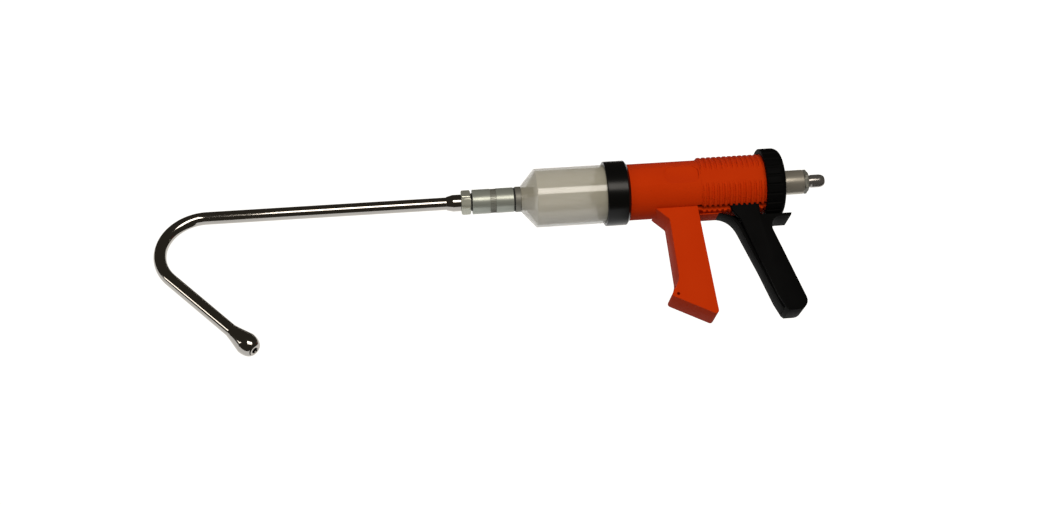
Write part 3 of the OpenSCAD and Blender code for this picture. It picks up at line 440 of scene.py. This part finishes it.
def leg_place():
    """Direction of the lower leg, the corner where the two straight runs would meet, and the leg's start."""
    turn, roll = math.radians(BEND_ANGLE), math.radians(HOOK_ROLL)
    way = Vector((-math.cos(turn), -math.sin(turn) * math.sin(roll), -math.sin(turn) * math.cos(roll)))
    reach = BEND_R * math.tan(turn / 2)
    corner = Vector((BEND_X - reach, 0, AXIS_H))
    return way, corner, corner + way * reach


def hook_tube():
    """The outer and inner skins of the tube, joined at both ends."""
    midway_x = -300.0
    way, corner, leg_start = leg_place()
    line = bpy.data.meshes.new("hook_line")
    points = [Vector((NUT_X0, 0, AXIS_H)), corner, leg_start + way * (LEG_LEN + BULB_SOCKET)]
    line.from_pydata([p * MM for p in points], [(0, 1), (1, 2)], [])
    bm = bmesh.new()
    for skin_r in (TUBE_R, TUBE_BORE_R):
        tube = grown("hook_sweep", SWEPT, {
            "Bend radius": BEND_R * MM, "Radius": skin_r * MM, "Sides": 48, "Finish": CHROME}, line.copy())
        bm.from_mesh(tube.data)
        bpy.data.objects.remove(tube)
    rear = [e for e in bm.edges if e.is_boundary and e.verts[0].co.x > midway_x * MM]
    bmesh.ops.bridge_loops(bm, edges=rear)
    bmesh.ops.bridge_loops(bm, edges=[e for e in bm.edges if e.is_boundary])
    fit(object_from("hook_tube_bent", bm), "hook_tube", CHROME)


def nozzle_bulb():
    belly = 16.43
    way, _, leg_start = leg_place()
    place = along_axis(leg_start + way * LEG_LEN, way)
    outline = rounded([(0, TUBE_SOCKET_R, 0), (0, 5.65, 0.15), (3.0, 6.15, 6.0)]
                      + quarter(belly, BULB_LEN - belly, BULB_R, BULB_FACE_R, 14)[:-1]
                      + [(BULB_LEN, BULB_FACE_R, 0.4), (BULB_LEN, NOZZLE_R, 0.5),
                         (BULB_SOCKET, NOZZLE_R, 0), (BULB_SOCKET, TUBE_SOCKET_R, 0)])
    fit(spun("nozzle_bulb_turned", outline, place=place, steps=64), "nozzle_bulb", CHROME)


def hexagon(flats):
    """A reshaping for spun: a hexagon bar of that width across flats, cut by the turned outline."""
    turn = math.radians(HEX_TURN)

    def cut(r, angle):
        a = (angle - turn + math.pi / 6) % (math.pi / 3) - math.pi / 6
        return min(r, flats / 2 / math.cos(a))

    return cut


# Steps round a hexagon, and round the large tubes
HEX_STEPS, TUBE_STEPS = 144, 128


def lance_fittings():
    """The ferrule on the tube, and the union nut behind it."""
    ferrule_x1, taper, chamfer, wall, neck_fit_r = NUT_X0 - 0.1, 5.5, 0.75, 2.2, 7.35
    fit(spun("tube_ferrule_turned", rounded([
        (FERRULE_X, TUBE_SOCKET_R, 0), (FERRULE_X, 5.7, 0.15), (FERRULE_X + taper, FERRULE_R, 2.0),
        (ferrule_x1, FERRULE_R, 0.25), (ferrule_x1, SPIGOT_R, 0), (SPIGOT_X1, SPIGOT_R, 0.3),
        (SPIGOT_X1, TUBE_BORE_R, 0), (NUT_X0, TUBE_BORE_R, 0), (NUT_X0, TUBE_SOCKET_R, 0)]), steps=72),
        "tube_ferrule", CHROME)
    fit(spun("lance_nut_milled", rounded([
        (NUT_X0, ROD_FIT_R, 0), (NUT_X0, NUT_FACE_R, 0.1), (NUT_X0 + chamfer, NUT_CORNER_R, 0),
        (NUT_X1 - chamfer, NUT_CORNER_R, 0), (NUT_X1, NUT_FACE_R, 0.1), (NUT_X1, neck_fit_r, 0),
        (NUT_X0 + wall, neck_fit_r, 0), (NUT_X0 + wall, ROD_FIT_R, 0)]), hexagon(NUT_AF), steps=HEX_STEPS),
        "lance_nut", BRIGHT)


# The valves and the barrel

def valve_sleeve():
    """The turned sleeve of the outlet valve, with a knurled band sunk between two smooth lands."""
    x0, x1 = SLEEVE_X0, SLEEVE_X1
    band1 = x1 - KNURL_BACK
    band0 = band1 - KNURL_W
    neck_x, web0, web1, seat_x = -182.0, -171.2, -169.2, -152.4
    band_r, spigot_fit_r, teeth_r, tooth = 9.8, 6.3, 9.75, 0.7
    sleeve = spun("valve_sleeve_turned", rounded([
        (neck_x, spigot_fit_r, 0), (neck_x, NECK_R, 0.3), (x0, NECK_R, 0), (x0, BODY_R, 0.5),
        (band0, BODY_R, 0.2), (band0, band_r, 0), (band1, band_r, 0), (band1, BODY_R, 0.2),
        (x1, BODY_R, 0.5), (x1, SEAT_R, 0), (seat_x, SEAT_R, 0), (seat_x, CHAMBER_R, 0),
        (web1, CHAMBER_R, 0), (web1, VALVE_BORE_R, 0), (web0, VALVE_BORE_R, 0), (web0, spigot_fit_r, 0)]))
    fit(sleeve, "valve_sleeve", SATIN)
    # The knurl's teeth: their darker finish is partly painted shade of the teeth shading each other
    teeth = grown("valve_sleeve_knurl", TEETH, {
        "Teeth": KNURL_TEETH, "Radius": teeth_r * MM, "Width": KNURL_W * MM, "Depth": tooth * MM,
        "Finish": MATT})
    teeth.data.transform(upright_to_axis((band0 + band1) / 2))
    # The neck thread's dark finish is painted shade of the gap between the lance nut and the sleeve
    neck = spun("valve_sleeve_neck_thread", [
        (NUT_X1, NECK_R), (NUT_X1, NECK_THREAD_R), (x0, NECK_THREAD_R), (x0, NECK_R)])
    neck.data.materials.append(THREAD)
    for piece in (teeth, neck):
        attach(piece, "gun_body")


def outlet_connector():
    """The flanged spigot between the sleeve and the barrel's nose, with a groove for its O-ring."""
    plug_x, ring0, ring1, end_x = -149.4, -134.45, -132.65, -124.5
    flange_r, neck_r, groove_r = 10.7, 9.8, 8.2
    fit(spun("outlet_connector_turned", rounded([
        (plug_x, SEAT_PLUG_BORE_R, 0), (plug_x, SEAT_PLUG_R, 0.3), (FLANGE_X, SEAT_PLUG_R, 0),
        (FLANGE_X, flange_r, 0.5), (NOSE_X, flange_r, 0.5), (NOSE_X, neck_r, 0), (ring0, neck_r, 0),
        (ring0, groove_r, 0), (ring1, groove_r, 0), (ring1, neck_r, 0), (end_x, neck_r, 0.6),
        (end_x, SEAT_PLUG_BORE_R, 0)])), "outlet_connector", MATT)


def barrel():
    nose_r, nose_bore_r = 11.0, 9.85
    fit(spun("barrel_moulded", rounded([
        (NOSE_X, nose_bore_r, 0), (NOSE_X, nose_r, 0.4), (SHOULDER_X, BARREL_R, 1.2),
        (BARREL_X1, BARREL_R, 0.3), (BARREL_X1, BARREL_BORE_R, 0.3), (SHOULDER_X + 1.2, BARREL_BORE_R, 1.0),
        (NOSE_X + 4.5, nose_bore_r, 0)]), steps=TUBE_STEPS), "barrel", MILKY)


def clamp_ring():
    x0, step, x1 = CLAMP_X0, CLAMP_STEP_X, CLAMP_X1
    out_r, barrel_fit_r, tube_fit_r = 27.4, 24.95, 23.9
    fit(spun("clamp_ring_moulded", rounded([
        (x0, barrel_fit_r, 0), (x0, out_r, 0.9), (x1 - 2.3, out_r, 0.8), (x1, 24.35, 0.3),
        (x1, tube_fit_r, 0), (step, tube_fit_r, 0), (step, barrel_fit_r, 0)]), steps=TUBE_STEPS),
        "clamp_ring", GLOSS_BLACK)


# The rear end

def dose_knob():
    """The knob's finger grooves are straight round-bottomed cuts."""
    cut_r, cut_centre_r = 1.3, 30.65
    skin_r = KNOB_BORE_R + 0.1
    depth, rear_round, sleeve_fit_r, steps_per_groove = 13.8, 6.6, 10.45, 18

    def grooved(r, angle):
        a = (angle * KNOB_GROOVES / (2 * math.pi) % 1 - 0.5) * 2 * math.pi / KNOB_GROOVES
        side = cut_centre_r * math.sin(a)
        if abs(side) >= cut_r or r < skin_r:
            return r
        return min(r, cut_centre_r * math.cos(a) - math.sqrt(cut_r * cut_r - side * side))

    outline = rounded([(KNOB_X0, KNOB_BORE_R, 0), (KNOB_X0, 29.8, 0.15), (KNOB_X0 + 0.5, KNOB_R, 0.25)]
                      + quarter(KNOB_X1 - rear_round, rear_round, KNOB_R, 25.0)
                      + [(KNOB_X1, sleeve_fit_r, 0.3), (KNOB_X0 + depth, sleeve_fit_r, 0),
                         (KNOB_X0 + depth, KNOB_BORE_R, 0)])
    fit(spun("dose_knob_moulded", outline, grooved, steps=KNOB_GROOVES * steps_per_groove),
        "dose_knob", BLACK)


def inlet():
    """Sleeve, nut and hose tail behind the knob."""
    x1, nut0, nut1 = INLET_X1, INLET_NUT_X0, INLET_NUT_X1
    front, collar0, collar1, web0, web1, seat_x, plug_x = 70.2, 78.2, 81.2, 80.2, 82.2, 96.2, 99.2
    collar_r = 15.0
    fit(spun("inlet_sleeve_turned", rounded([
        (front, ROD_FIT_R, 0), (front, BODY_R, 0), (collar0, BODY_R, 0), (collar0, collar_r, 0.2),
        (collar1, collar_r, 0.2), (collar1, BODY_R, 0), (x1, BODY_R, 0.4), (x1, SEAT_R, 0),
        (seat_x, SEAT_R, 0), (seat_x, CHAMBER_R, 0), (web1, CHAMBER_R, 0), (web1, VALVE_BORE_R, 0),
        (web0, VALVE_BORE_R, 0), (web0, ROD_FIT_R, 0)])), "inlet_sleeve", DULL)
    socket, socket_r = nut1 - 3.6, 4.05
    fit(spun("inlet_nut_milled", rounded([
        (plug_x, SEAT_PLUG_BORE_R, 0), (plug_x, SEAT_PLUG_R, 0), (nut0, SEAT_PLUG_R, 0),
        (nut0, NUT_FACE_R, 0.1), (nut0 + 0.7, NUT_CORNER_R, 0), (nut1 - 1.1, NUT_CORNER_R, 0),
        (nut1, 8.4, 0.2), (nut1, socket_r, 0), (socket, socket_r, 0), (socket, SEAT_PLUG_BORE_R, 0)]),
        hexagon(NUT_AF), steps=HEX_STEPS),
        "inlet_nut", MATT)
    tail0, pin_r, shank_r, barb_r, tail_bore_r = nut1 - 3.5, 4.0, 5.15, 5.55, 2.4
    fit(spun("hose_tail_turned", rounded([
        (tail0, tail_bore_r, 0), (tail0, pin_r, 0), (nut1, pin_r, 0), (nut1, shank_r, 0.2),
        (nut1 + 2.2, shank_r, 0.6), (nut1 + 3.4, barb_r, 0.8)] + quarter(nut1 + 9.4, 5.5, barb_r, 2.8, 12)
        + [(nut1 + 14.9, tail_bore_r, 0.2)]), steps=72), "hose_tail", PLATE)


# Inside

def springs():
    """The trigger's return spring and the two valve springs, each wound to the length of its CAD spring."""
    for node, joint, travel, mean, wire, turns in (
            ("return_spring", "trigger_slide", 28.0, 23.8, 2.2, 12),
            ("outlet_spring", "outlet_lift", 1.5, 6.0, 0.8, 5),
            ("inlet_spring", "inlet_lift", 1.5, 6.0, 0.8, 5)):
        low, high = (corner.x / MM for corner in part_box(node))
        wound = grown(node + "_wound", COIL, {
            "Turns": float(turns), "Coil radius": mean / 2 * MM, "Length": (high - low - wire) * MM,
            "Wire radius": wire / 2 * MM, "Finish": WIRE})
        wound.data.transform(upright_to_axis(low + wire / 2))
        fit(wound, node, WIRE)
        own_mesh(wound)


def plunger_front():
    """Piston and its nut: seen through the barrel."""
    x0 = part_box("piston")[0].x / MM
    x1 = x0 + 12.0
    ring0, ring1, ring2, ring3 = x0 + 2.2, x0 + 5.0, x0 + 7.0, x0 + 9.8
    out_r, groove_r = 22.5, 20.2
    # The piston's very dark finish is partly painted shade, darkening the barrel next to the clamp
    fit(spun("piston_turned", rounded([
        (x0, ROD_FIT_R, 0), (x0, out_r, 0.6), (ring0, out_r, 0.1), (ring0, groove_r, 0), (ring1, groove_r, 0),
        (ring1, out_r, 0.1), (ring2, out_r, 0.1), (ring2, groove_r, 0), (ring3, groove_r, 0),
        (ring3, out_r, 0.1), (x1, out_r, 0.4), (x1, ROD_FIT_R, 0)])), "piston", GREY_ACETAL)
    nut_x, chamfer, face_r, corner_r, flats = x0 - 6.0, 0.6, 8.8, 9.82, 17.0
    fit(spun("piston_nut_milled", rounded([
        (nut_x, ROD_FIT_R, 0), (nut_x, face_r, 0.1), (nut_x + chamfer, corner_r, 0),
        (x0 - chamfer, corner_r, 0), (x0, face_r, 0.1), (x0, ROD_FIT_R, 0)]),
        hexagon(flats), steps=HEX_STEPS), "piston_nut", STEEL)


def moulded_parts():
    fit(dressed("housing", 0.45), "housing", ORANGE)
    fit(dressed("trigger_shell", 0.6), "trigger_shell", BLACK)
    strip = dressed("trigger_strip", 0.5)
    fit(strip, "trigger_strip", BLACK)
    # The thin tongue of the strip, under the ribs, has the housing's colour
    strip.data.materials.append(ORANGE)
    for face in strip.data.polygons:
        face.material_index = int(face.center.x < TONGUE_X1 * MM)


hook_tube()
nozzle_bulb()
lance_fittings()
valve_sleeve()
outlet_connector()
barrel()
clamp_ring()
dose_knob()
inlet()
springs()
plunger_front()
moulded_parts()

# CAD nodes that stay as they are, each with its own finish
for finish, nodes in {
        RUBBER: ("lance_oring", "nose_oring", "sleeve_gasket", "barrel_gasket", "piston_rings"),
        ACETAL: ("outlet_seat", "inlet_seat", "rod_guide", "thrust_washer"),
        STEEL: ("outlet_ball", "inlet_ball", "spring_cup", "carriage", "trigger_pins", "plunger_rod",
                "rod_clips", "lance_clip")}.items():
    for node in nodes:
        frame["nodes"][node].data.materials.clear()
        frame["nodes"][node].data.materials.append(finish)


# Light and surroundings, in metres

def lamp(name, place, aim, width, height, watts):
    made = bpy.data.lights.new(name, "AREA")
    made.shape = "RECTANGLE"
    made.size, made.size_y, made.energy = width, height, watts
    made.color = linear("#fff8ee")[:3]
    obj = bpy.data.objects.new(name, made)
    SCENE.collection.objects.link(obj)
    back = (place - aim).normalized()
    side = (RIGHT - back * RIGHT.dot(back)).normalized()
    turn = Matrix((side, back.cross(side), back)).transposed().to_4x4()
    obj.matrix_world = Matrix.Translation(place) @ turn
    return obj


def lights():
    """A long ceiling lamp above the camera, a window far to the left, and the room's soft light, which glossy
    surfaces don't mirror."""
    aim = Vector((-0.13, 0, 0.03))
    rise, away = math.radians(25), 1.25
    over = aim + (UP * math.sin(rise) - AHEAD * math.cos(rise)) * away + Vector((0.16, 0, 0))
    lamp("long_fitting", over + RIGHT * 0.05, aim, width=0.90, height=0.50, watts=8.0)
    lamp("side_window", Vector((-2.14, -0.98, 0.11)), Vector((-0.40, 0, 0)),
         width=0.80, height=0.25, watts=2.5)
    soft = lamp("soft_room_light", over, aim, width=1.40, height=0.80, watts=3.0)
    soft.visible_glossy = False


def shown(tree):
    """1 for what is seen, directly, mirrored or through a clear part, and 0 for light falling on things."""
    path = add(tree, "ShaderNodeLightPath").outputs
    seen = add(tree, "ShaderNodeMath", {0: path["Is Camera Ray"], 1: path["Is Glossy Ray"]},
               operation="MAXIMUM")
    return add(tree, "ShaderNodeMath", {0: seen.outputs[0], 1: path["Is Transmission Ray"]},
               operation="MAXIMUM").outputs[0]


def staged(name, bm, shade):
    """A piece of the surroundings, whose material shade(tree) draws."""
    mesh = bpy.data.meshes.new(name)
    bm.to_mesh(mesh)
    bm.free()
    made = bpy.data.materials.new(name)
    made.use_nodes = True
    made.node_tree.nodes.clear()
    add(made.node_tree, "ShaderNodeOutputMaterial", {"Surface": shade(made.node_tree)})
    mesh.materials.append(made)
    obj = bpy.data.objects.new(name, mesh)
    SCENE.collection.objects.link(obj)
    return obj


def paper(tree):
    """White paper that takes the gun's shadow, topped up to white where it is seen, and clear from behind."""
    top_up = 0.6
    lit = add(tree, "ShaderNodeBsdfDiffuse", {"Color": linear("#f2f2f0")})
    glow = add(tree, "ShaderNodeMath", {0: shown(tree), 1: top_up}, operation="MULTIPLY")
    top = add(tree, "ShaderNodeEmission", {"Strength": glow.outputs[0]})
    both = add(tree, "ShaderNodeAddShader", {0: lit.outputs[0], 1: top.outputs[0]})
    behind = add(tree, "ShaderNodeNewGeometry").outputs["Backfacing"]
    clear = add(tree, "ShaderNodeBsdfTransparent")
    return add(tree, "ShaderNodeMixShader", {0: behind, 1: both.outputs[0], 2: clear.outputs[0]}).outputs[0]


def gloom(tree):
    """The even dark tone of a room."""
    return add(tree, "ShaderNodeEmission", {"Color": linear("#39352f")}).outputs[0]


def stage():
    """A pale table behind the gun, and a dark room that only shiny parts mirror, open below and behind."""
    left, right, low, high, back = -2, 1, -0.5, 0.66, 0.6
    room_r, open_to_x, front_slope = 3.0, 0.5, 6
    bm = bmesh.new()
    corners = ((left, back, low), (right, back, low), (right, back, high), (left, back, high))
    bm.faces.new([bm.verts.new(p) for p in corners])
    staged("pale_table", bm, paper)
    bm = bmesh.new()
    bmesh.ops.create_uvsphere(bm, u_segments=96, v_segments=48, radius=room_r)
    opened = [v for v in bm.verts
              if v.co.x < open_to_x and v.co.z < (v.co.y if v.co.y > 0 else front_slope * v.co.y)]
    bmesh.ops.delete(bm, geom=opened, context="VERTS")
    room = staged("dark_room", bm, gloom)
    room.visible_camera = room.visible_diffuse = room.visible_shadow = False
    room.visible_transmission = room.visible_volume_scatter = False


def world():
    """A soft even light, white where it is seen."""
    ambient, seen_white = 0.28, 1.0
    made = bpy.data.worlds.new("studio")
    SCENE.world = made
    made.use_nodes = True
    tree = made.node_tree
    tree.nodes.clear()
    level = add(tree, "ShaderNodeMix", {0: shown(tree), 2: ambient, 3: seen_white})
    sky = add(tree, "ShaderNodeBackground", {"Color": linear("#ffffff"), "Strength": level.outputs[0]})
    add(tree, "ShaderNodeOutputWorld", {"Surface": sky.outputs[0]})


lights()
stage()
world()
